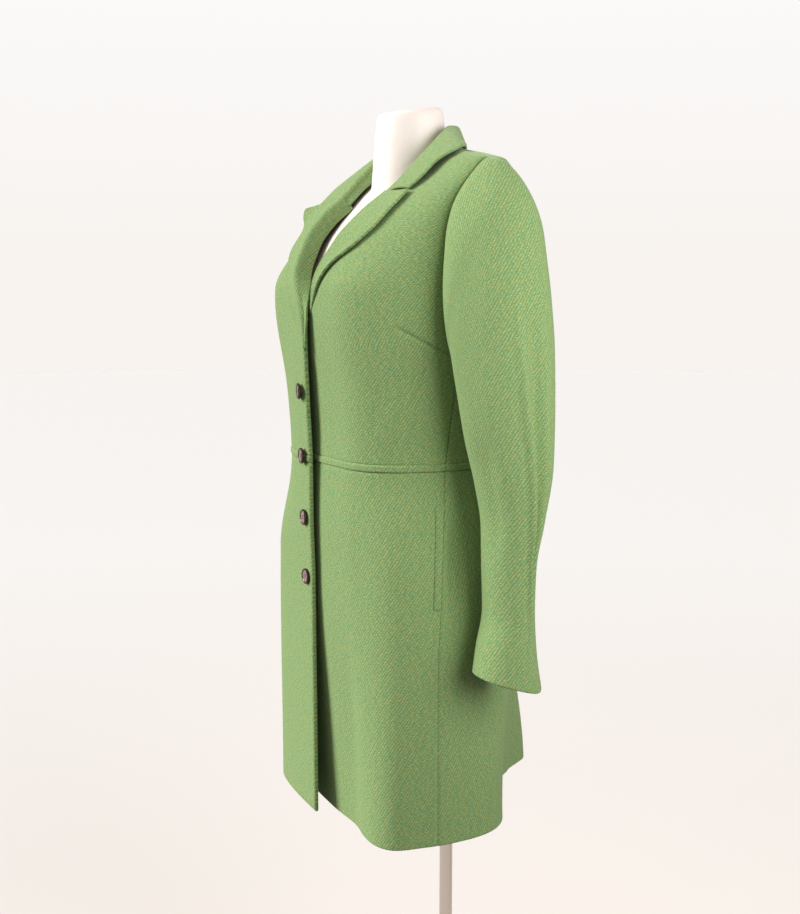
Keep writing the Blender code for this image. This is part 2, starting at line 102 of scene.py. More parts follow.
# As a light the surround is dim below the floor's edge and bright above it; the camera sees a paler backdrop
level = add(tree, "ShaderNodeSeparateXYZ", {0: add(tree, "ShaderNodeTexCoord").outputs["Generated"]})
above = add(tree, "ShaderNodeMapRange", {0: level.outputs["Z"], 1: -0.25, 2: 0.05}, clamp=True)
glow = add(tree, "ShaderNodeMix", {
    0: above.outputs[0], 6: tint("#77736E"), 7: tint("#FFFBF6"),
}, data_type="RGBA")
tree.links.new(glow.outputs[2], sky.inputs["Color"])
rise = add(tree, "ShaderNodeMapRange", {0: level.outputs["Z"], 1: 0.0, 2: 0.2}, clamp=True)
wall = add(tree, "ShaderNodeMix", {
    0: rise.outputs[0], 6: tint("#F8F3EF"), 7: tint("#FBFAFA"),
}, data_type="RGBA")
backdrop = add(tree, "ShaderNodeBackground", {"Color": wall.outputs[2]})
seen = add(tree, "ShaderNodeLightPath").outputs["Is Camera Ray"]
both = add(tree, "ShaderNodeMixShader", {0: seen, 1: sky.outputs[0], 2: backdrop.outputs[0]})
tree.links.new(both.outputs[0], tree.nodes["World Output"].inputs["Surface"])
bpy.context.scene.world = surround

# Studio paper: matt and faintly uneven, with painted shade that makes it a little warmer and darker near the
# stand than far away
FLOOR_R = 14.0
FLOOR_NEAR = 0.2
FLOOR_FAR = 4.0
bpy.ops.mesh.primitive_circle_add(vertices=96, radius=FLOOR_R, fill_type="NGON")
floor = bpy.context.object
floor.name = "studio_floor"
paper, tree, shader = material("matt studio paper")
grey = add(tree, "ShaderNodeTexNoise", {"Scale": 0.8, "Detail": 2.0})
pale = add(tree, "ShaderNodeMix", {
    0: grey.outputs["Fac"], 6: tint("#EFEDEC"), 7: tint("#F1EFEE"),
}, data_type="RGBA")
spot = add(tree, "ShaderNodeTexCoord").outputs["Object"]
# Painted shade: the paper's colour darkens towards the stand, by distance from the floor's middle
distance = add(tree, "ShaderNodeVectorMath", {0: spot}, operation="LENGTH")
far = add(tree, "ShaderNodeMapRange", {0: distance.outputs["Value"], 1: FLOOR_NEAR, 2: FLOOR_FAR}, clamp=True)
paper_and_painted_shade = add(tree, "ShaderNodeMix", {
    0: far.outputs[0], 6: tint("#E8E1DC"), 7: pale.outputs[2],
}, data_type="RGBA")
tree.links.new(paper_and_painted_shade.outputs[2], shader.inputs["Base Color"])
shader.inputs["Roughness"].default_value = 0.9
shader.inputs["Specular IOR Level"].default_value = 0.1
floor.data.materials.append(paper)
floor.visible_diffuse = False

KEY_SPREAD = math.radians(32.0)
KEY_POWER = 4.4
towards = -image_right * 0.92 + ahead * 0.02 + Vector((0, 0, 0.42))
key = bpy.data.objects.new("key softbox", bpy.data.lights.new("key softbox", "SUN"))
key.data.angle = KEY_SPREAD
key.data.energy = KEY_POWER
key.rotation_euler = (-towards).to_track_quat("-Z", "Y").to_euler()
bpy.context.scene.collection.objects.link(key)

FILL_SIZE = 1.0
FILL_POWER = 9.0
FILL_SPREAD = math.radians(120.0)
FILL_AIM = Vector((0, 0, 1.25))
place = image_right * 0.86 - ahead * 1.06 + Vector((0, 0, 1.40))
fill = bpy.data.objects.new("fill softbox", bpy.data.lights.new("fill softbox", "AREA"))
fill.data.size = FILL_SIZE
fill.data.energy = FILL_POWER
fill.data.spread = FILL_SPREAD
fill.location = place
fill.rotation_euler = (FILL_AIM - place).to_track_quat("-Z", "Y").to_euler()
bpy.context.scene.collection.objects.link(fill)

# Skirt fronts: two panels of heathered wool twill, flared a little and seamed to the bodice at the waist.
# The right one laps over the left one, and both have a turned hem and a turned front edge.
HEM_Z = 0.520
WAIST_Z = 1.009
SEAM = 0.0004
SQUARENESS = 2.5

# Body sections: height, half width, y at centre front, y at the side, y at centre back
SECTIONS = np.array([
    (0.520, 0.193, -0.214, -0.075, 0.105),
    (0.680, 0.188, -0.214, -0.073, 0.096),
    (0.850, 0.180, -0.214, -0.069, 0.083),
    (0.935, 0.170, -0.216, -0.066, 0.068),
    (1.013, 0.160, -0.2165, -0.064, 0.053),
    (1.106, 0.166, -0.2195, -0.062, 0.060),
    (1.165, 0.172, -0.2210, -0.060, 0.068),
    (1.236, 0.178, -0.218, -0.055, 0.074),
    (1.300, 0.182, -0.192, -0.048, 0.070),
    (1.335, 0.182, -0.163, -0.044, 0.062),
    (1.354, 0.182, -0.139, -0.043, 0.056),
    (1.385, 0.182, -0.094, -0.040, 0.044),
    (1.402, 0.178, -0.072, -0.038, 0.027),
    (1.410, 0.148, -0.060, -0.036, 0.013),
    (1.418, 0.098, -0.053, -0.034, 0.003),
    (1.426, 0.050, -0.048, -0.033, -0.002),
])

# Hollows (-) and flutes (+) of the skirt: turn and spread in degrees, depth at the hip and at the hem
FOLDS = [
    (140.0, 29.0, -0.012, -0.051),
    (168.0, 11.0, -0.004, -0.028),
    (187.5, 7.0, 0.018, 0.066),
    (-145.0, 28.0, -0.008, -0.030),
    (-44.0, 24.0, 0.020, 0.016),
    (56.0, 12.0, 0.004, 0.013),
]
HIP_Z = 0.870

# Bust fullness from the darts: turn and spread in degrees, rise; its height, and its spread above and below
BUST = [(32.0, 16.0, 0.008), (-34.0, 18.0, 0.018)]
BUST_Z = 1.236
BUST_ABOVE = 0.050
BUST_BELOW = 0.095

# Soft creases of the worn cloth: turn, height, how wide in degrees, how tall in metres, lean, depth
CREASES = [
    (70.0, 1.130, 7.0, 0.050, 120.0, -0.0035),
    (62.0, 1.090, 6.0, 0.055, 140.0, 0.0020),
    (40.0, 0.900, 9.0, 0.120, 0.0, -0.0020),
    (24.0, 0.640, 7.0, 0.120, 0.0, -0.0035),
    (88.2, 0.895, 3.0, 0.062, 15.0, -0.0110),
    (113.0, 0.810, 9.0, 0.120, 58.0, -0.0220),
    (160.0, 1.120, 12.0, 0.060, 60.0, -0.0030),
    (200.0, 1.120, 12.0, 0.060, -60.0, -0.0030),
    (-70.0, 1.130, 7.0, 0.050, -120.0, -0.0035),
]

# Side seam: height, turn
SIDE_SEAM = np.array([
    (0.520, 80.0), (0.750, 80.3), (0.850, 82.0), (0.950, 84.0), (1.013, 85.2), (1.165, 88.0), (1.440, 88.0),
])

# How far the left front lies inside the right one: height, depth; and the turns over which that fades out
UNDERLAP = np.array([
    (0.520, 0.030), (0.680, 0.021), (0.800, 0.0135), (0.853, 0.0120), (0.935, 0.0125), (1.013, 0.0145),
    (1.060, 0.0160), (1.120, 0.0150), (1.165, 0.0120), (1.200, 0.0085), (1.264, 0.0035), (1.320, 0.0),
    (1.440, 0.0),
])

UNDERLAP_TURNS = (12.0, 48.0)

# Hidden front edge of the left front: height, x
UNDER_EDGE = np.array([(0.520, -0.060), (0.680, -0.050), (0.800, -0.034), (0.920, -0.024), (1.013, -0.022)])

# Front edge of the right skirt front: height, x
OVERLAP = np.array([(0.520, 0.019), (0.850, 0.017), (1.013, 0.016)])


def ease(table, column, at):
    """Smooth, non-overshooting curve through one column of a table."""
    xs = table[:, 0]
    ys = table[:, column]
    step = np.diff(xs)
    slope = np.diff(ys) / step
    tangent = np.zeros(len(xs))
    tangent[0] = slope[0]
    tangent[-1] = slope[-1]
    for i in range(1, len(xs) - 1):
        if slope[i - 1] * slope[i] > 0:
            tangent[i] = 2 * slope[i - 1] * slope[i] / (slope[i - 1] + slope[i])
    at = np.clip(at, xs[0], xs[-1])
    i = np.clip(np.searchsorted(xs, at, side="right") - 1, 0, len(xs) - 2)
    t = (at - xs[i]) / step[i]
    rise = ys[i + 1] - ys[i]
    start = tangent[i] * step[i]
    end = tangent[i + 1] * step[i]
    return ys[i] + t * (start + t * (3 * rise - 2 * start - end + t * (start + end - 2 * rise)))


def fade(x, low, high):
    """Smooth step from 0 at low to 1 at high."""
    t = np.clip((x - low) / (high - low), 0.0, 1.0)
    return t * t * (3 - 2 * t)


def apart(turn, centre):
    """Signed angle from centre to turn."""
    return (turn - centre + 180.0) % 360.0 - 180.0


def body(turn, height):
    """Points of the coat body's outer face."""
    turn, height = np.broadcast_arrays(np.asarray(turn, float), np.asarray(height, float))
    half, front, side, back = (ease(SECTIONS, i, height) for i in (1, 2, 3, 4))
    sine = np.sin(np.radians(turn))
    cosine = np.cos(np.radians(turn))
    reach = np.where(cosine > 0, side - front, back - side)
    across = np.sign(sine) * np.abs(sine) ** (2.0 / SQUARENESS)
    along = -np.sign(cosine) * np.abs(cosine) ** (2.0 / SQUARENESS)
    steep = SQUARENESS - 1.0
    way_x = np.sign(across) * np.abs(across) ** steep / half
    way_y = np.sign(along) * np.abs(along) ** steep / reach
    size = np.hypot(way_x, way_y)
    tall = np.where(height > BUST_Z, BUST_ABOVE, BUST_BELOW)
    out = sum(rise * np.exp(-(apart(turn, at) / wide) ** 2) for at, wide, rise in BUST)
    out = out * np.exp(-((height - BUST_Z) / tall) ** 2)
    low = 1.0 - fade(height, HEM_Z, HIP_Z)
    for at, wide, at_hip, at_hem in FOLDS:
        depth = at_hem * low + at_hip * (1.0 - low) * (1.0 - fade(height, HIP_Z, WAIST_Z))
        out = out + depth * np.exp(-(apart(turn, at) / wide) ** 2)
    for at, level, wide, high, lean, depth in CREASES:
        aside = apart(turn, at + lean * (height - level)) / wide
        out = out + depth * np.exp(-aside ** 2 - ((height - level) / high) ** 2)
    x = half * across + way_x / size * out
    y = side + reach * along + way_y / size * out
    return np.stack([x, y, height], -1)


def turn_at(x, height):
    """Front turn at which the body lies x from the middle plane."""
    share = np.minimum(np.abs(x) / ease(SECTIONS, 1, height), 1.0)
    return np.sign(x) * np.degrees(np.arcsin(share ** (SQUARENESS / 2)))


def left_front(turn, height):
    """Body's face moved in where the right front laps over it."""
    points = body(turn, height)
    points[..., 1] += ease(UNDERLAP, 1, height) * (1.0 - fade(turn, *UNDERLAP_TURNS))
    return points


def facing(face, turn, height):
    """Unit normals of face(turn, height) by small differences."""
    aside = 0.4
    above = 0.002
    across = face(turn + aside, height) - face(turn - aside, height)
    along = face(turn, height + above) - face(turn, height - above)
    out = np.cross(across, along)
    return out / np.linalg.norm(out, axis=-1, keepdims=True)


# Rows and columns crowd within 6 mm of an edge, so that seams sink and turned edges round over
EDGE_STEPS = np.array([0.0, 0.0005, 0.0012, 0.0022, 0.0036, 0.0058])
EDGE_SHARE = 0.2


def panel(face, heights, start, end, step):
    """Points and normals of face(turn, height) between two edges that change with the height."""
    first = start(heights)
    last = end(heights)
    rough = np.linspace(0, 1, 40)
    rough = face(first[:, None] + (last - first)[:, None] * rough, heights[:, None] * np.ones_like(rough))
    widths = np.linalg.norm(np.diff(rough, axis=1), axis=2).sum(axis=1)
    middle = np.linspace(0, 1, int(widths.max() / step) + 2)[1:-1]
    shares = []
    for width in widths:
        ends = EDGE_STEPS * min(1.0, width * EDGE_SHARE / EDGE_STEPS[-1])
        inside = ends[-1] + (width - 2 * ends[-1]) * middle
        shares.append(np.concatenate([ends, inside, width - ends[::-1]]) / width)
    turns = first[:, None] + (last - first)[:, None] * np.array(shares)
    levels = heights[:, None] * np.ones_like(turns)
    return face(turns, levels), facing(face, turns, levels), turns, levels


def rows_between(low, high, step):
    """Heights from low to high, crowded at both ends."""
    inside = np.linspace(low + EDGE_STEPS[-1], high - EDGE_STEPS[-1], int((high - low) / step) + 2)[1:-1]
    return np.concatenate([low + EDGE_STEPS, inside, high - EDGE_STEPS[::-1]])


# The cloth's thickness: plain, at a turned edge and at the right front's edge, and how far that reaches in.
# How deep a seam sinks and over what width. The edge's round, as shares of the thickness. Spacing of points.
CLOTH = 0.0024
TURNED_CLOTH = 0.0040
LAPPED_EDGE = 0.0068
TURNED_REACH = 0.016
SEAM_DIP = 0.0009
SEAM_REACH = 0.0020
ROUND_WIDTH = 0.55
ROUND_DEPTH = 0.49
SKIRT_STEP = 0.0045


def smooth_mesh(name, points, faces, finish):
    """Smooth-shaded object from points and faces."""
    mesh = bpy.data.meshes.new(name)
    mesh.from_pydata([tuple(p) for p in points], [], faces)
    mesh.shade_smooth()
    mesh.materials.append(finish)
    made = bpy.data.objects.new(name, mesh)
    bpy.context.scene.collection.objects.link(made)
    return made


def cloth_piece(name, points, out, turned=(), seams=(), lift=0.0, wall=CLOTH, edge_wall=TURNED_CLOTH,
                level_row=0, weave_turn=0.0):
    """Cloth shell under a grid of outer points: seams sink, turned edges are thicker and round over.

    The sides of the grid are start and end across its rows, low and high across its columns.
    Each point keeps its place on the flat cloth, in metres, for the weave; level_row lies straight across it,
    and weave_turn is the angle at which the piece is cut from the cloth.
    """
    zero_col = np.zeros((points.shape[0], 1))
    zero_row = np.zeros((1, points.shape[1]))
    across = np.hstack([zero_col, np.linalg.norm(np.diff(points, axis=1), axis=2).cumsum(axis=1)])
    along = np.vstack([zero_row, np.linalg.norm(np.diff(points, axis=0), axis=2).cumsum(axis=0)])
    gaps = {"start": across, "end": across[:, -1:] - across, "low": along, "high": along[-1:] - along}
    dip = sum((SEAM_DIP * np.exp(-(gaps[side] / SEAM_REACH) ** 2) for side in seams), np.zeros_like(across))
    near = np.minimum.reduce([gaps[side] for side in turned]) if turned else np.full_like(across, 1.0)
    thick = wall + (edge_wall - wall) * np.exp(-(near / TURNED_REACH) ** 2)
    bite = 1.0 - np.clip(near / (thick * ROUND_WIDTH), 0.0, 1.0)
    rounded = thick * ROUND_DEPTH * (1.0 - np.sqrt(1.0 - bite ** 2))
    outer = points + out * (lift - dip - rounded)[..., None]
    inner = points - out * (thick - rounded)[..., None]
    rows, cols = across.shape
    number = np.arange(rows * cols).reshape(rows, cols)
    quads = np.stack([number[:-1, :-1], number[:-1, 1:], number[1:, 1:], number[1:, :-1]], -1).reshape(-1, 4)
    ring = np.concatenate([number[0, :-1], number[:-1, -1], number[-1, :0:-1], number[:0:-1, 0]])
    after = np.roll(ring, -1)
    rim = np.stack([after, ring, ring + rows * cols, after + rows * cols], -1)
    faces = np.vstack([quads, quads[:, ::-1] + rows * cols, rim])
    made = smooth_mesh(name, np.vstack([outer.reshape(-1, 3), inner.reshape(-1, 3)]), faces.tolist(), wool)
    grain = across[:, cols // 2, None]
    wide = across - grain
    tall = along - along[level_row]
    cosine = math.cos(weave_turn)
    sine = math.sin(weave_turn)
    flat = [wide * cosine - tall * sine, wide * sine + tall * cosine, np.zeros_like(tall)]
    flat = np.stack(flat, -1).reshape(-1, 3)
    place = made.data.attributes.new("cloth", "FLOAT_VECTOR", "POINT")
    place.data.foreach_set("vector", np.vstack([flat, flat]).astype(np.float32).ravel())
    return made


def dress(piece, slot, *nodes):
    """Sets a piece in the place of its nodes, on the part's one body."""
    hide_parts(*nodes)
    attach(piece, "root")


# Heathered wool twill: diagonal ribs of two-ply yarn, milled and brushed, so the eye sees soft ribs,
# patches of teal and olive, tan flecks and a pale bloom of nap at grazing angles.
# The grooves between the ribs are bumped and also darkened with painted shade.
# Single yarns and flecks are too fine to show in the picture, so both are drawn coarser than they are spun.
RIB = 0.0034
RIB_ANGLE = math.radians(58.0)
SLUB = 0.010
YARN_LONG = 0.0042
YARN_WIDE = 0.0013
PATCH = 0.011
FLECK = 0.0055
NAP_DEPTH = 0.0005
wool, tree, shader = material("heathered wool twill")
place = add(tree, "ShaderNodeAttribute", attribute_name="cloth").outputs["Vector"]
lean_x = math.sin(RIB_ANGLE) * math.tau / RIB
lean_y = -math.cos(RIB_ANGLE) * math.tau / RIB
phase = add(tree, "ShaderNodeVectorMath", {0: place, 1: (lean_x, lean_y, 0.0)}, operation="DOT_PRODUCT")
slub = add(tree, "ShaderNodeTexNoise", {"Vector": place, "Scale": 1 / SLUB, "Detail": 3.0})
drift = add(tree, "ShaderNodeMath", {
    0: slub.outputs["Fac"], 1: 4.2, 2: phase.outputs["Value"],
}, operation="MULTIPLY_ADD")
rib = add(tree, "ShaderNodeMath", {0: drift.outputs[0]}, operation="SINE")
turned_grain = add(tree, "ShaderNodeMapping", {
    "Vector": place, "Rotation": (0.0, 0.0, -RIB_ANGLE), "Scale": (1 / YARN_LONG, 1 / YARN_WIDE, 1.0),
}, vector_type="POINT")
yarn = add(tree, "ShaderNodeTexNoise", {
    "Vector": turned_grain.outputs[0], "Scale": 1.0, "Detail": 3.0, "Roughness": 0.6,
})
patch = add(tree, "ShaderNodeTexNoise", {
    "Vector": place, "Scale": 1 / PATCH, "Detail": 4.0, "Roughness": 0.65,
})
fleck = add(tree, "ShaderNodeTexNoise", {
    "Vector": place, "Scale": 1 / FLECK, "Detail": 2.0, "Roughness": 0.5,
})
teal_share = add(tree, "ShaderNodeMapRange", {0: patch.outputs["Fac"], 1: 0.36, 2: 0.64}, clamp=True)
ground = add(tree, "ShaderNodeMix", {
    0: teal_share.outputs[0], 6: tint("#69955D"), 7: tint("#829855"),
}, data_type="RGBA")
bright_share = add(tree, "ShaderNodeMapRange", {
    0: yarn.outputs["Fac"], 1: 0.42, 2: 0.72, 4: 0.78,
}, clamp=True)
lit = add(tree, "ShaderNodeMix", {
    0: bright_share.outputs[0], 6: ground.outputs[2], 7: tint("#C2CE98"),
}, data_type="RGBA")
tan_share = add(tree, "ShaderNodeMapRange", {0: fleck.outputs["Fac"], 1: 0.56, 2: 0.70, 4: 0.34}, clamp=True)
tan = add(tree, "ShaderNodeMix", {
    0: tan_share.outputs[0], 6: lit.outputs[2], 7: tint("#A89C5C"),
}, data_type="RGBA")
# Painted shade: the colour turns dark green in the grooves between the twill's ribs
groove_painted_shade = add(tree, "ShaderNodeMapRange", {0: rib.outputs[0], 1: 0.6, 2: -1.0, 4: 0.54}, clamp=True)
colour = add(tree, "ShaderNodeMix", {
    0: groove_painted_shade.outputs[0], 6: tan.outputs[2], 7: tint("#58774D"),
}, data_type="RGBA")
height = add(tree, "ShaderNodeMath", {
    0: rib.outputs[0], 1: 0.5, 2: yarn.outputs["Fac"],
}, operation="MULTIPLY_ADD")
nap = add(tree, "ShaderNodeBump", {"Strength": 0.42, "Distance": NAP_DEPTH, "Height": height.outputs[0]})
tree.links.new(colour.outputs[2], shader.inputs["Base Color"])
tree.links.new(nap.outputs[0], shader.inputs["Normal"])
shader.inputs["Roughness"].default_value = 0.92
shader.inputs["Specular IOR Level"].default_value = 0.15
shader.inputs["Sheen Weight"].default_value = 0.30
shader.inputs["Sheen Roughness"].default_value = 0.4
shader.inputs["Sheen Tint"].default_value = tint("#E6EDD2")


def gap_turn(height):
    """Half a seam gap as an angle."""
    return np.degrees(SEAM / 2 / ease(SECTIONS, 1, height))


def skirt_seam(height, front):
    """Side seam of the skirt on its front or back side."""
    return ease(SIDE_SEAM, 1, height) + gap_turn(height) * (-1 if front else 1)


skirt_rows = rows_between(HEM_Z, WAIST_Z - SEAM / 2, SKIRT_STEP)
points, out, _, _ = panel(
    left_front, skirt_rows,
    lambda z: turn_at(ease(UNDER_EDGE, 1, z), z), lambda z: skirt_seam(z, True), SKIRT_STEP)
skirt_front_left = cloth_piece("skirt_front_left", points, out, ("start", "low"), ("end", "high"))
dress(skirt_front_left, "wool_twill", "skirt_front_left")

points, out, _, _ = panel(
    body, skirt_rows,
    lambda z: -skirt_seam(z, True), lambda z: turn_at(ease(OVERLAP, 1, z), z), SKIRT_STEP)
skirt_front_right = cloth_piece(
    "skirt_front_right", points, out, ("end", "low"), ("start", "high"), edge_wall=LAPPED_EDGE)
dress(skirt_front_right, "wool_twill", "skirt_front_right")

# Skirt back: one wide panel of the same twill, seamed to the fronts at the sides and to the bodice above.
# It falls from the waist in soft hollows and one flute, and its hem is turned.
points, out, _, _ = panel(
    body, skirt_rows, lambda z: skirt_seam(z, False), lambda z: 360.0 - skirt_seam(z, False), SKIRT_STEP)
skirt_back = cloth_piece("skirt_back", points, out, ("low",), ("start", "end", "high"))
dress(skirt_back, "wool_twill", "skirt_back")

# Bodice: two fronts with bust darts and a back, seamed at the sides and shoulders.
# The waist seam allowance is pressed up and topstitched, which leaves a narrow raised welt above the seam.
UNDERARM_Z = 1.165
SHOULDER_Z = 1.402
NECK_Z = 1.4235
ARMHOLE_TURN = 91.0
ARMHOLE_Z = (SHOULDER_Z + UNDERARM_Z) / 2
ARMHOLE_HALF = (SHOULDER_Z - UNDERARM_Z) / 2
ARMHOLE_LENGTH = 0.30
WELT_RISE = 0.0012
WELT_HEIGHT = 0.0088
STITCH_DIP = 0.0010
STITCH_REACH = 0.0010
FRONT_STEP = 0.0026
BACK_STEP = 0.0040

# Front edges above the waist: height, x of the left front's edge, x of the right front's edge
FRONT_EDGES = np.array([
    (1.005, -0.022, 0.016),
    (1.120, -0.020, 0.014),
    (1.165, -0.004, 0.014),
    (1.200, 0.013, 0.011),
    (1.231, 0.025, -0.0035),
    (1.264, 0.037, -0.030),
    (1.303, 0.055, -0.048),
    (1.335, 0.066, -0.059),
    (1.3735, 0.070, -0.064),
    (1.402, 0.064, -0.064),
    (1.412, 0.062, -0.062),
    (1.418, 0.058, -0.058),
    (1.426, 0.044, -0.044),
])

# Bust dart: turn and height of its point and of its mouth near the underarm, its sewn line's depth and width,
# and the body's radius there
DART_POINT = (58.9, 1.1945)
DART_MOUTH = (84.0, 1.1590)
DART_DIP = 0.0026
DART_REACH = 0.0020
DART_BODY_R = 0.19


def armhole(around):
    """Turn and height of the left armhole.

    Around is 0 at the shoulder, 90 at the front and 180 at the underarm; the widths are in degrees of turn.
    """
    sine = np.sin(np.radians(around))
    cosine = np.cos(np.radians(around))
    front = 14.5 + 9.0 * cosine + 9.0 * cosine ** 2
    back = 14.0 + 4.0 * cosine
    width = np.where(sine > 0, front, back)
    return ARMHOLE_TURN - width * sine, ARMHOLE_Z + ARMHOLE_HALF * cosine


def side_edge(height, front):
    """End of a bodice panel: side seam, then armhole, then shoulder seam."""
    step = gap_turn(height) * (-1.5 if front else 1.5)
    share = np.clip((height - ARMHOLE_Z) * 2 / (SHOULDER_Z - UNDERARM_Z), -1.0, 1.0)
    around = np.degrees(np.arccos(share))
    hole = armhole(around if front else -around)[0] + step
    seam = ease(SIDE_SEAM, 1, height) + step
    blend = fade(height, UNDERARM_Z, UNDERARM_Z + 0.004)
    return np.where(height >= SHOULDER_Z, 90.0 + step * 2, hole * blend + seam * (1 - blend))


def dart(turns, levels, hand):
    """Depth of the dart's sewn line."""
    degree = math.radians(DART_BODY_R)
    span_x = (DART_MOUTH[0] - DART_POINT[0]) * degree
    span_z = DART_MOUTH[1] - DART_POINT[1]
    length = math.hypot(span_x, span_z)
    off_x = (turns * hand - DART_POINT[0]) * degree
    off_z = levels - DART_POINT[1]
    down = (off_x * span_x + off_z * span_z) / length
    aside = (off_x * span_z - off_z * span_x) / length
    depth = fade(down, -0.004, 0.012) * (1 - fade(down, length, length + 0.004))
    return DART_DIP * depth * np.exp(-(aside / DART_REACH) ** 2)


def bodice(name, face, start, end, step, turned, seams, hand, edge_wall=TURNED_CLOTH):
    """One bodice panel with the waist welt and, on a front, the bust dart.

    Its rows crowd at the welt, follow the armhole's round and crowd again at the neck.
    """
    low = WAIST_Z + SEAM / 2
    swing = np.linspace(math.pi, 0, int(ARMHOLE_LENGTH / step))
    heights = np.concatenate([
        low + EDGE_STEPS,
        low + np.linspace(0.0066, 0.0112, 9),
        np.arange(low + 0.013, UNDERARM_Z - 0.001, step),
        ARMHOLE_Z + ARMHOLE_HALF * np.cos(swing),
        np.linspace(SHOULDER_Z + 0.001, NECK_Z - EDGE_STEPS[-1] - 0.001, 10),
        NECK_Z - EDGE_STEPS[::-1],
    ])
    points, out, turns, levels = panel(face, heights, start, end, step)
    lift = WELT_RISE * (1 - fade(levels - low, WELT_HEIGHT - 0.0004, WELT_HEIGHT + 0.0008))
    lift = lift - STITCH_DIP * np.exp(-((levels - low - WELT_HEIGHT - 0.0006) / STITCH_REACH) ** 2)
    if hand:
        lift = lift - dart(turns, levels, hand)
    piece = cloth_piece(name, points, out, turned, seams, lift, edge_wall=edge_wall)
    dress(piece, "wool_twill", name)
    return piece


bodice_front_left = bodice(
    "bodice_front_left", left_front,
    lambda z: turn_at(ease(FRONT_EDGES, 1, z), z), lambda z: side_edge(z, True),
    FRONT_STEP, ("start", "low"), ("end", "high"), 1)
bodice_front_right = bodice(
    "bodice_front_right", body,
    lambda z: -side_edge(z, True), lambda z: turn_at(ease(FRONT_EDGES, 2, z), z),
    FRONT_STEP, ("end", "low"), ("start", "high"), -1, LAPPED_EDGE)
bodice_back = bodice(
    "bodice_back", body, lambda z: side_edge(z, False), lambda z: 360.0 - side_edge(z, False),
    BACK_STEP, ("low",), ("start", "end", "high"), 0)

# Lapels: the fronts' facing, turned back over the roll line on both sides and lying on the chest.
# Two layers of the twill with a bagged-out edge, so the edge is round and thick; the right one springs up.
LAPEL_WALL = 0.0030
LAPEL_EDGE_WALL = 0.0038
LAPEL_SPRING = 0.0024
LAPEL_TURN_IN = 0.05
LAPEL_STEP = 0.0025
LAPEL_SPAN = 0.125

# The lapel grows from the front's edge over these heights: in thickness, in width, and in its turned-in flank
LAPEL_BULK_RISE = 0.070
LAPEL_WIDTH_RISE = 0.045
LAPEL_FLANK_Z = (1.205, 1.260)

# Outer edge of a lapel: height, distance from the middle plane
LAPEL_EDGE = np.array([
    (1.1600, 0.0000), (1.2015, 0.0200), (1.2350, 0.0380), (1.2690, 0.0665), (1.2950, 0.1010),
    (1.3200, 0.1180), (1.3490, 0.1220), (1.3620, 0.1195),
])

# Lapel section: place along it, share of the width from the roll edge, height of its face above the front.
# It starts beside the form's chest, comes forward round the front's edge in a soft roll and runs out.
LAPEL_PROFILE = np.array([
    (0.00, -0.260, -0.0150), (0.08, -0.215, -0.0100), (0.15, -0.165, -0.0055), (0.21, -0.120, -0.0015),
    (0.26, -0.085, 0.0015), (0.31, -0.045, 0.0038), (0.36, 0.000, 0.0052), (0.43, 0.070, 0.0060),
    (0.52, 0.200, 0.0054), (0.70, 0.480, 0.0046), (0.85, 0.750, 0.0040), (1.00, 1.000, 0.0040),
])


def grid_normals(grid):
    """Unit normals of a grid of points by differences along its rows and columns."""
    out = np.cross(np.gradient(grid, axis=1), np.gradient(grid, axis=0))
    return out / np.linalg.norm(out, axis=2, keepdims=True)


# Name, side, column of its front edge, lowest and highest point, how its tip stands off the chest and
# between which heights that grows, and the front it lies on
for name, hand, column, low, high, stand, stand_rows, face in (
    ("lapel_left", 1, 1, 1.196, 1.3615, (0.0, -0.002, 0.0), (1.265, 1.3675), left_front),
    ("lapel_right", -1, 2, 1.160, 1.3590, (0.0, -0.046, -0.016), (1.300, 1.368), body),
):
    levels = rows_between(low, high, LAPEL_STEP)[:, None]
    places = np.concatenate([np.linspace(0, 0.95, 60), 1.0 - EDGE_STEPS[:0:-1] / LAPEL_SPAN, [1.0]])[None, :]
    share = ease(LAPEL_PROFILE, 1, places) * np.ones_like(levels)
    rise = ease(LAPEL_PROFILE, 2, places) * np.ones_like(levels)
    spread = np.maximum(share, 0.0)
    bulk = 0.15 + 0.85 * fade(levels, low, low + LAPEL_BULK_RISE)
    rise = np.where(rise < 0, rise * fade(levels, *LAPEL_FLANK_Z), rise * bulk)
    roll_x = ease(FRONT_EDGES, column, levels) * hand
    width = (ease(LAPEL_EDGE, 1, levels) - roll_x) * fade(levels, low, low + LAPEL_WIDTH_RISE)
    x = roll_x + width * spread + np.minimum(share, 0.0) * LAPEL_TURN_IN * bulk
    heights = levels * np.ones_like(x)
    turns = turn_at(x * hand, heights)
    spring = fade(heights, *stand_rows) ** 1.3 * spread ** 1.5
    rise = rise + LAPEL_SPRING * bulk * spread ** 2
    grid = face(turns, heights) + facing(face, turns, heights) * rise[..., None]
    grid = grid + spring[..., None] * np.array(stand)
    if hand < 0:
        grid = grid[:, ::-1]
    edge = "end" if hand > 0 else "start"
    piece = cloth_piece(
        name, grid, grid_normals(grid), (edge, "low", "high"), wall=LAPEL_WALL, edge_wall=LAPEL_EDGE_WALL)
    dress(piece, "wool_twill", name)

# Collar: one notched piece round the neck that stands up, folds over and falls to the shoulders.
# Two layers of the twill on canvas, sewn to the neck edge, with a bagged-out outer edge.

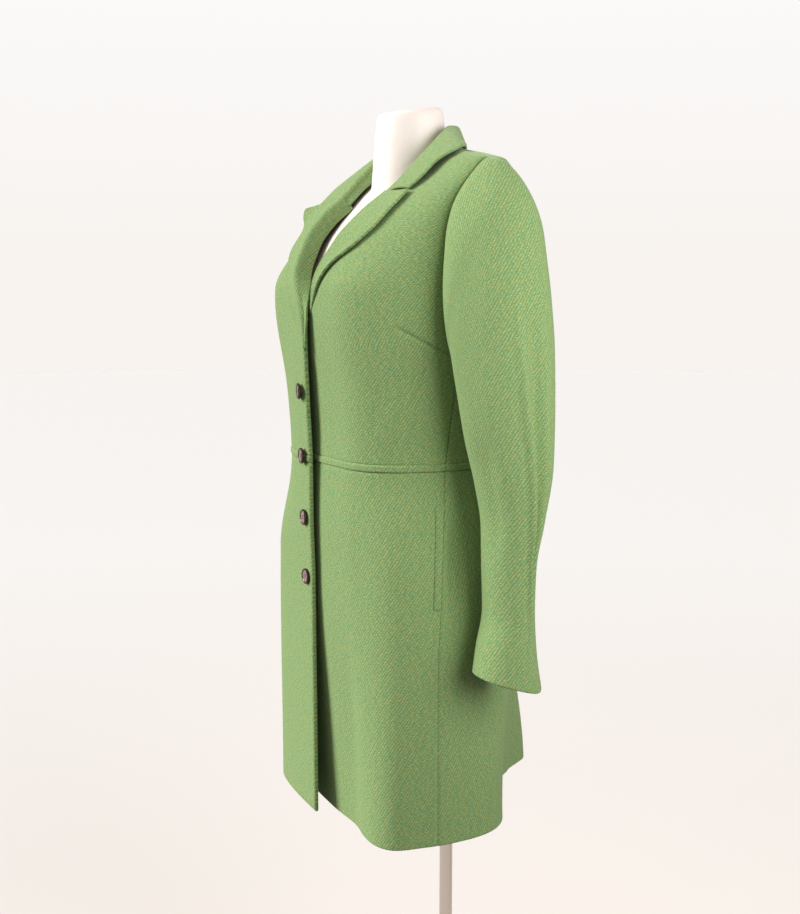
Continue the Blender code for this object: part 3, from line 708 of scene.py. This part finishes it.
# Half of the collar from centre back to its end: share of the length, then x, y, z of the neck seam,
# x, y, z of the fold and x, y, z of the outer edge
COLLAR = np.array([
    (0.00, 0.000, -0.0015, 1.4242, 0.000, -0.004, 1.4530, 0.000, 0.0115, 1.4178),
    (0.20, 0.026, -0.0030, 1.4242, 0.026, -0.0105, 1.4530, 0.038, 0.0030, 1.4214),
    (0.40, 0.048, -0.0100, 1.4243, 0.048, -0.030, 1.4510, 0.080, -0.018, 1.4235),
    (0.52, 0.0605, -0.0250, 1.4240, 0.061, -0.046, 1.4410, 0.111, -0.036, 1.4205),
    (0.64, 0.0570, -0.0500, 1.4180, 0.067, -0.066, 1.4230, 0.124, -0.062, 1.4110),
    (0.76, 0.0600, -0.0710, 1.4000, 0.067, -0.086, 1.4035, 0.1215, -0.080, 1.4000),
    (0.88, 0.0590, -0.0940, 1.3770, 0.065, -0.107, 1.3815, 0.121, -0.100, 1.3810),
    (1.00, 0.0520, -0.1180, 1.3550, 0.061, -0.126, 1.3620, 0.116, -0.1170, 1.3660),
])

# How far the right end stands off the chest, the share of it that the fold and the seam follow,
# and between which shares of the length it grows
COLLAR_STAND = np.array([0.0, -0.037, -0.024])
FOLD_STAND = 0.3
SEAM_STAND = 0.26
EDGE_STATIONS = (0.45, 0.85)
FOLD_STATIONS = (0.6, 1.0)
FALL_LENGTH = 0.0625
COLLAR_EDGE_WALL = 0.0036
BEND = 0.0055
FALL_BULGE = 0.003
stations = np.concatenate([
    np.linspace(-1, -0.985, 6), np.linspace(-0.97, 0.97, 110), np.linspace(0.985, 1, 6),
])
fall = np.concatenate([np.linspace(0.05, 0.90, 20), 1.0 - EDGE_STEPS[::-1] / FALL_LENGTH])
rows = []
for station in stations:
    line = np.array([ease(COLLAR, i, abs(station)) for i in range(1, 10)]).reshape(3, 3)
    seam, fold, edge = line * np.array([-1.0 if station < 0 else 1.0, 1.0, 1.0])
    if station < 0:
        edge = edge + COLLAR_STAND * fade(-station, *EDGE_STATIONS)
        fold = fold + COLLAR_STAND * FOLD_STAND * fade(-station, *FOLD_STATIONS)
        seam = seam + COLLAR_STAND * SEAM_STAND * fade(-station, *FOLD_STATIONS)
    away = (edge - fold) * np.array([1.0, 1.0, 0.0])
    away /= np.linalg.norm(away)
    up = np.array([0.0, 0.0, 1.0])
    crown = fold + (away - up) * BEND
    row = [seam + (fold - up * BEND - seam) * t for t in np.linspace(0, 0.9, 8)]
    slope = math.atan2(crown[2] + BEND - edge[2], np.linalg.norm((edge - crown)[:2]))
    bend = np.linspace(0.0, math.pi / 2 + max(slope, 0.0), 14)
    row += [crown - away * BEND * math.cos(t) + up * BEND * math.sin(t) for t in bend]
    over = row[-1]
    row += [over + (edge - over) * t + up * FALL_BULGE * math.sin(math.pi * t) for t in fall]
    rows.append(row)
grid = np.array(rows)
out = grid_normals(grid)
collar = cloth_piece(
    "collar", grid + out * CLOTH / 2, out, ("end", "low", "high"), ("start",),
    edge_wall=COLLAR_EDGE_WALL, weave_turn=RIB_ANGLE)
dress(collar, "wool_twill", "collar")

# Sleeves: two-piece set-in sleeves, a wide top piece and a narrow under piece, eased into the armhole.
# They hang straight, bend a little forward at the elbow and flare at the turned cuff.

# Left sleeve: share of its length, x, y, z of its outer line, x, y, z of its inner line, y in front, y behind
SLEEVE = np.array([
    (0.00, 0.178, -0.039, 1.402, 0.174, -0.060, 1.166, -0.100, -0.008),
    (0.03, 0.195, -0.038, 1.408, 0.178, -0.058, 1.160, -0.108, 0.010),
    (0.07, 0.214, -0.036, 1.400, 0.182, -0.057, 1.152, -0.110, 0.017),
    (0.12, 0.231, -0.035, 1.373, 0.185, -0.056, 1.142, -0.108, 0.018),
    (0.19, 0.246, -0.036, 1.324, 0.187, -0.055, 1.128, -0.104, 0.019),
    (0.27, 0.258, -0.036, 1.262, 0.189, -0.053, 1.108, -0.101, 0.022),
    (0.36, 0.265, -0.034, 1.192, 0.190, -0.050, 1.080, -0.095, 0.0245),
    (0.46, 0.269, -0.030, 1.112, 0.190, -0.044, 1.040, -0.086, 0.0245),
    (0.57, 0.270, -0.024, 1.030, 0.190, -0.034, 0.990, -0.072, 0.023),
    (0.67, 0.267, -0.021, 0.956, 0.190, -0.027, 0.940, -0.063, 0.012),
    (0.76, 0.264, -0.023, 0.895, 0.190, -0.026, 0.890, -0.062, 0.001),
    (0.84, 0.265, -0.023, 0.840, 0.190, -0.024, 0.840, -0.061, -0.001),
    (0.92, 0.268, -0.027, 0.790, 0.190, -0.027, 0.790, -0.070, 0.003),
    (1.00, 0.272, -0.030, 0.742, 0.191, -0.030, 0.745, -0.077, 0.011),
])

# The sleeve head lies just inside the armhole by these shares, and eases into the sleeve over HEAD_SHARE
HEAD_TURN = 0.986
HEAD_UPPER = 0.9955
HEAD_LOWER = 0.991
HEAD_SHARE = 0.16

# Seams of the two pieces, as angles round the sleeve, and the angle left between the pieces
FRONT_SEAM = 138.0
HIND_SEAM = -112.0
SPLIT = 0.6
SLEEVE_LENGTH = 0.65
SLEEVE_SQUARENESS = 0.9
EDGE_TURNS = np.array([0.0, 0.3, 0.7, 1.3, 2.2, 3.6])
EDGE_TURN = 5.0
CUFF_TILT = 0.30
CUFF_ROUND = 0.009

# Creases of the sleeve: angle round it, share of its length, how wide in degrees, how long, lean, depth
SLEEVE_CREASES = [
    (-2.0, 0.60, 5.0, 0.24, -32.0, 0.0060),
    (-18.0, 0.58, 8.0, 0.22, -32.0, -0.0120),
    (70.0, 0.62, 16.0, 0.10, -60.0, -0.0035),
    (52.0, 0.50, 14.0, 0.12, -60.0, 0.0020),
    (60.0, 0.22, 16.0, 0.10, 120.0, -0.0025),
]


def sleeve(around, down):
    """Points of the left sleeve's outer face; down is 0 at the armhole and 1 at the cuff."""
    around, down = np.broadcast_arrays(np.asarray(around, float), np.asarray(down, float))
    row = [ease(SLEEVE, i, down) for i in range(1, 9)]
    outer = np.stack(row[0:3], -1)
    inner = np.stack(row[3:6], -1)
    middle = (outer + inner) / 2
    sine = np.sin(np.radians(around))
    cosine = np.cos(np.radians(around))
    sidle = np.where(sine > 0, row[6], row[7]) - middle[..., 1]
    points = middle + (outer - inner) / 2 * (np.sign(cosine) * np.abs(cosine) ** SLEEVE_SQUARENESS)[..., None]
    lean = sidle * np.abs(sine) ** SLEEVE_SQUARENESS
    points[..., 1] += lean
    points[..., 2] -= CUFF_TILT * lean * fade(down, 0.85, 1.0)
    points[..., 2] += CUFF_ROUND * np.clip(-sine, 0.0, 1.0) ** 6 * fade(down, 0.90, 1.0)
    for at, level, wide, high, swing, depth in SLEEVE_CREASES:
        aside = apart(around, at + swing * (down - level)) / wide
        press = depth * np.exp(-aside ** 2 - ((down - level) / high) ** 4)
        away = points - middle
        points = points + away / np.linalg.norm(away, axis=-1, keepdims=True) * press[..., None]
    turn, height = armhole(around)
    shrink = np.where(height > ARMHOLE_Z, HEAD_UPPER, HEAD_LOWER)
    set_in = body(ARMHOLE_TURN + (turn - ARMHOLE_TURN) * HEAD_TURN, ARMHOLE_Z + (height - ARMHOLE_Z) * shrink)
    share = fade(down, 0.0, HEAD_SHARE)[..., None]
    return set_in * (1 - share) + points * share


def mirrored(grid):
    """Grid of the right-hand piece, kept facing outwards."""
    return grid[:, ::-1] * np.array([-1, 1, 1])


edge_shares = EDGE_STEPS / SLEEVE_LENGTH
down = np.concatenate([edge_shares, np.linspace(0.014, 0.985, 130), 1.0 - edge_shares[::-1]])[:, None]
for name, first, last, cols, flat, area in (
    ("top", HIND_SEAM, FRONT_SEAM, 70, (0.27, 0.66), 0.128),
    ("under", FRONT_SEAM, HIND_SEAM + 360.0, 36, (0.15, 0.50), 0.050),
):
    low = first + SPLIT / 2
    high = last - SPLIT / 2
    inside = np.linspace(low + EDGE_TURN, high - EDGE_TURN, cols)
    turns = np.concatenate([low + EDGE_TURNS, inside, high - EDGE_TURNS[::-1]])[None, :]
    grid = sleeve(turns, down)
    out = facing(sleeve, turns * np.ones_like(down), down * np.ones_like(turns))
    for side, points, normals in (("left", grid, out), ("right", mirrored(grid), mirrored(out))):
        piece = cloth_piece(
            f"sleeve_{name}_{side}", points, normals, ("high",), ("start", "end", "low"), level_row=-1)
        dress(piece, "wool_twill", f"sleeve_{name}_{side}")

# Pocket welts: a folded strip of the twill along each in-seam pocket mouth, just ahead of the side seam.
# It is sewn down along its front edge, and its back edge stands free over the mouth.
# Its lowest and highest point, its turns ahead of the side seam, and how far both edges lie above the skirt.
POCKET_Z = (0.834, 0.966)
POCKET_TURNS = (3.8, 0.8)
POCKET_LIFT = (0.0018, 0.0040)
POCKET_WALL = 0.0022
for side, face, hand in (("left", left_front, 1), ("right", body, -1)):
    near, far = POCKET_TURNS if hand > 0 else POCKET_TURNS[::-1]
    points, out, _, _ = panel(
        face, rows_between(*POCKET_Z, 0.003),
        lambda z: (ease(SIDE_SEAM, 1, z) - near) * hand,
        lambda z: (ease(SIDE_SEAM, 1, z) - far) * hand, 0.0012)
    lifts = np.linspace(*POCKET_LIFT[::hand], points.shape[1])[None, :, None]
    sewn, free = ("start", "end") if hand > 0 else ("end", "start")
    welt = cloth_piece(
        f"pocket_welt_{side}", points + out * lifts, out, (free, "low", "high"), (sewn,),
        wall=POCKET_WALL, edge_wall=POCKET_WALL)
    dress(welt, "wool_twill", f"pocket_welt_{side}")

# Buttons: four dished four-hole buttons of polished resin down the right front, sewn on with dark thread.
# They are cast brown with a paler, mottled middle, and turned with a raised rim.
BUTTON_Z = (1.104, 1.017, 0.933, 0.851)
BUTTON_TILT = (12.0, 7.0, 3.0, 0.0)
BUTTON_LIFT = 0.0006
BUTTON_SIDES = 48

# Turned profile from the back's edge over the rim into the dish: radius, height above the back
BUTTON = [
    (0.0098, 0.0000), (0.0105, 0.0005), (0.0108, 0.0014), (0.0107, 0.0026), (0.0102, 0.0035),
    (0.0095, 0.0038), (0.0088, 0.0036), (0.0081, 0.0029), (0.0072, 0.0026), (0.0045, 0.0025),
]
BUTTON_R = 0.0108
BUTTON_DISH = 0.0025
HOLE_R = 0.0012
HOLE_OUT = 0.0023
HOLE_DEPTH = 0.0036
CLOUD = 0.004
resin, tree, shader = material("polished polyester resin")
place = add(tree, "ShaderNodeAttribute", attribute_name="disc").outputs["Vector"]
reach = add(tree, "ShaderNodeVectorMath", {0: place}, operation="LENGTH")
cloud = add(tree, "ShaderNodeTexNoise", {"Vector": place, "Scale": 1 / CLOUD, "Detail": 3.0})
rim_share = add(tree, "ShaderNodeMapRange", {0: reach.outputs["Value"], 1: 0.0066, 2: 0.0088}, clamp=True)
middle = add(tree, "ShaderNodeMix", {
    0: cloud.outputs["Fac"], 6: tint("#4A332C"), 7: tint("#B09080"),
}, data_type="RGBA")
brown = add(tree, "ShaderNodeMix", {
    0: rim_share.outputs[0], 6: middle.outputs[2], 7: tint("#2E1D18"),
}, data_type="RGBA")
tree.links.new(brown.outputs[2], shader.inputs["Base Color"])
shader.inputs["Roughness"].default_value = 0.28
shader.inputs["Specular IOR Level"].default_value = 0.3
shader.inputs["IOR"].default_value = 1.55
for number, (height, tilt) in enumerate(zip(BUTTON_Z, BUTTON_TILT), 1):
    level = np.array(height)
    across = body(1.0, level) - body(-1.0, level)
    across /= np.linalg.norm(across)
    rise = body(0.0, level + 0.004) - body(0.0, level - 0.004)
    rise /= np.linalg.norm(rise)
    way_out = np.cross(across, rise)
    lift = BUTTON_LIFT + (WELT_RISE if abs(height - WAIST_Z) < BUTTON_R else 0.0)
    lift += BUTTON_R * math.sin(math.radians(tilt))
    centre = body(0.0, level) + way_out * lift
    across = across * math.cos(math.radians(tilt)) + way_out * math.sin(math.radians(tilt))
    way_out = np.cross(across, rise)
    angles = np.linspace(0, math.tau, BUTTON_SIDES, endpoint=False)
    spokes = np.outer(np.cos(angles), across) + np.outer(np.sin(angles), rise)
    points = np.vstack([centre + spokes * radius + way_out * depth for radius, depth in BUTTON])
    points = np.vstack([points, centre, centre + way_out * BUTTON_DISH])
    faces = []
    last = (len(BUTTON) - 1) * BUTTON_SIDES
    for k in range(BUTTON_SIDES):
        m = (k + 1) % BUTTON_SIDES
        for ring in range(0, last, BUTTON_SIDES):
            faces.append((ring + k, ring + m, ring + BUTTON_SIDES + m, ring + BUTTON_SIDES + k))
        faces.append((len(points) - 2, m, k))
        faces.append((len(points) - 1, last + k, last + m))
    button = smooth_mesh(f"button_{number}", points, faces, resin)
    mesh = bmesh.new()
    for k in range(4):
        angle = math.pi / 4 + k * math.pi / 2
        spot = centre + (across * math.cos(angle) + rise * math.sin(angle)) * HOLE_OUT + way_out * BUTTON_DISH
        turn = Vector(way_out).to_track_quat("Z", "Y").to_matrix().to_4x4()
        turn.translation = Vector(spot)
        bmesh.ops.create_cone(
            mesh, cap_ends=True, segments=14, radius1=HOLE_R, radius2=HOLE_R, depth=HOLE_DEPTH, matrix=turn)
    drill_mesh = bpy.data.meshes.new("button_drill")
    mesh.to_mesh(drill_mesh)
    mesh.free()
    drill = bpy.data.objects.new("button_drill", drill_mesh)
    bpy.context.scene.collection.objects.link(drill)
    cut = button.modifiers.new("holes", "BOOLEAN")
    cut.operation = "DIFFERENCE"
    cut.solver = "EXACT"
    cut.object = drill
    bpy.context.view_layer.update()
    drilled = bpy.data.meshes.new_from_object(button.evaluated_get(bpy.context.evaluated_depsgraph_get()))
    button.modifiers.clear()
    button.data = drilled
    bpy.data.objects.remove(drill)
    drilled.shade_smooth()
    drilled.set_sharp_from_angle(angle=math.radians(40))
    spots = np.array([v.co for v in drilled.vertices]) - centre
    disc = np.stack([spots @ across, spots @ rise, np.zeros(len(spots))], -1)
    place = drilled.attributes.new("disc", "FLOAT_VECTOR", "POINT")
    place.data.foreach_set("vector", disc.astype(np.float32).ravel())
    dress(button, "button_plastic", f"button_{number}")

# Dress form: a hollow moulded torso and neck without head or arms, painted off-white.
# It carries the coat at the shoulders and stands clear of the cloth everywhere else.

# How deep the torso lies under the coat's outer face: height, depth
FORM = np.array([
    (0.800, 0.024), (0.935, 0.022), (1.013, 0.020), (1.106, 0.021), (1.165, 0.022), (1.236, 0.023),
    (1.300, 0.023), (1.335, 0.021), (1.354, 0.017), (1.371, 0.012), (1.388, 0.008), (1.402, 0.0042),
    (1.440, 0.0042),
])
FORM_BOTTOM = 0.800
LEVEL_BELOW = 1.2

# Neck: height, radius from front to back; it is a little narrower across, and its cut top rises to the back
NECK = np.array([
    (1.340, 0.0560), (1.400, 0.0510), (1.430, 0.0490), (1.450, 0.0470), (1.466, 0.0450),
    (1.4735, 0.0440), (1.475, 0.0425),
])
NECK_AXIS_Y = -0.060
NECK_OVAL = 0.96
NECK_SLOPE = 0.12


def closed_loft(mesh, rings):
    """Closed surface through rings, capped with a fan at each end."""
    loops = [[mesh.verts.new(p) for p in ring] for ring in rings]
    count = len(loops[0])
    for first, second in zip(loops, loops[1:]):
        for k in range(count):
            m = (k + 1) % count
            mesh.faces.new((first[k], first[m], second[m], second[k]))
    for loop, step in ((loops[0], -1), (loops[-1], 1)):
        hub = mesh.verts.new(sum((v.co for v in loop), Vector()) / count)
        for k in range(count):
            pair = (loop[k], loop[(k + 1) % count])[::step]
            mesh.faces.new((hub, *pair))


turns = np.arange(0.0, 360.0, 3.0)
mesh = bmesh.new()
rings = []
for level in np.concatenate([np.linspace(FORM_BOTTOM, 1.38, 90), np.linspace(1.384, 1.418, 16)]):
    heights = np.full_like(turns, level)
    ring = body(turns, heights) - facing(body, turns, heights) * ease(FORM, 1, level)
    if level < LEVEL_BELOW:
        ring[:, 2] = level
    rings.append(ring)
closed_loft(mesh, rings)
rings = []
for level in np.linspace(NECK[0, 0], NECK[-1, 0], 40):
    radius = ease(NECK, 1, level)
    side = radius * NECK_OVAL * np.cos(np.radians(turns))
    back = radius * np.sin(np.radians(turns))
    rings.append(np.stack([side, NECK_AXIS_Y + back, level + NECK_SLOPE * back], -1))
closed_loft(mesh, rings)
form_mesh = bpy.data.meshes.new("form_torso")
mesh.to_mesh(form_mesh)
mesh.free()
form = bpy.data.objects.new("dress_form", form_mesh)
bpy.context.scene.collection.objects.link(form)
blend = form.modifiers.new("blend", "REMESH")
blend.mode = "VOXEL"
blend.voxel_size = 0.0040
soften = form.modifiers.new("soften", "SMOOTH")
soften.iterations = 5
bpy.context.view_layer.update()
form.data = bpy.data.meshes.new_from_object(form.evaluated_get(bpy.context.evaluated_depsgraph_get()))
form.modifiers.clear()
form.data.shade_smooth()

# Painted glass-fibre shell: sprayed and rubbed smooth, so it is matt white with a faint warm mottle.
MOTTLE = 0.05
SPRAY = 0.0015
SPRAY_DEPTH = 0.0003
gelcoat, tree, shader = material("painted glass-fibre shell")
mottle = add(tree, "ShaderNodeTexNoise", {"Scale": 1 / MOTTLE, "Detail": 3.0})
white = add(tree, "ShaderNodeMix", {
    0: mottle.outputs["Fac"], 6: tint("#E9DDD6"), 7: tint("#EFE6E1"),
}, data_type="RGBA")
spray = add(tree, "ShaderNodeTexNoise", {"Scale": 1 / SPRAY, "Detail": 1.0})
peel = add(tree, "ShaderNodeBump", {
    "Strength": 0.08, "Distance": SPRAY_DEPTH, "Height": spray.outputs["Fac"],
})
tree.links.new(white.outputs[2], shader.inputs["Base Color"])
tree.links.new(peel.outputs[0], shader.inputs["Normal"])
shader.inputs["Roughness"].default_value = 0.5
shader.inputs["Subsurface Weight"].default_value = 0.5
shader.inputs["Subsurface Radius"].default_value = (1.0, 0.55, 0.35)
shader.inputs["Subsurface Scale"].default_value = 0.012
form.data.materials.clear()
form.data.materials.append(gelcoat)
dress(form, "form_plastic", "form_torso")

# Stand: a chromed steel tube under the form, fixed to a round chromed plate that rests on the floor.
# The tube is drawn and plated, so its shine runs in long upright streaks.
POLE_R = 0.0095
BASE_R = 0.180
BASE_H = 0.010
BASE_EDGE = 0.002
STAND_GAP = 0.0003
POLE_EDGE = 0.0008
STREAK_WIDE = 0.0012
STREAK_LONG = 0.09

# Outlines of the tube and the plate: radius, height
POLE = [
    (POLE_R - POLE_EDGE, BASE_H + STAND_GAP), (POLE_R, BASE_H + STAND_GAP + POLE_EDGE), (POLE_R, 0.4),
    (POLE_R, FORM_BOTTOM - STAND_GAP - POLE_EDGE), (POLE_R - POLE_EDGE, FORM_BOTTOM - STAND_GAP),
]
rim = [(BASE_R - BASE_EDGE + BASE_EDGE * math.sin(t), BASE_H - BASE_EDGE + BASE_EDGE * math.cos(t))
       for t in np.linspace(math.pi / 2, 0, 6)]
PLATE = [(BASE_R - BASE_EDGE, 0.0), (BASE_R - 0.0006, 0.0006), (BASE_R, BASE_EDGE)]
PLATE += rim + [(POLE_R * 3, BASE_H)]
chrome, tree, shader = material("chromed steel")
where = add(tree, "ShaderNodeTexCoord").outputs["Object"]
drawn = add(tree, "ShaderNodeMapping", {
    "Vector": where, "Scale": (1 / STREAK_WIDE, 1 / STREAK_WIDE, 1 / STREAK_LONG),
})
streak = add(tree, "ShaderNodeTexNoise", {"Vector": drawn.outputs[0], "Scale": 1.0, "Detail": 2.0})
gloss = add(tree, "ShaderNodeMapRange", {0: streak.outputs["Fac"], 3: 0.12, 4: 0.30}, clamp=True)
tree.links.new(gloss.outputs[0], shader.inputs["Roughness"])
shader.inputs["Base Color"].default_value = tint("#C2B8AE")
shader.inputs["Metallic"].default_value = 1.0
for name, outline in (("stand_pole", POLE), ("stand_base", PLATE)):
    mesh = bmesh.new()
    spokes = np.linspace(0, math.tau, 96, endpoint=False)
    closed_loft(mesh, [[(r * math.cos(t), r * math.sin(t), z) for t in spokes] for r, z in outline])
    made = bpy.data.meshes.new(name)
    mesh.to_mesh(made)
    mesh.free()
    made.shade_smooth()
    made.set_sharp_from_angle(angle=math.radians(30))
    made.materials.append(chrome)
    piece = bpy.data.objects.new(name, made)
    bpy.context.scene.collection.objects.link(piece)
    dress(piece, "stand_steel", name)
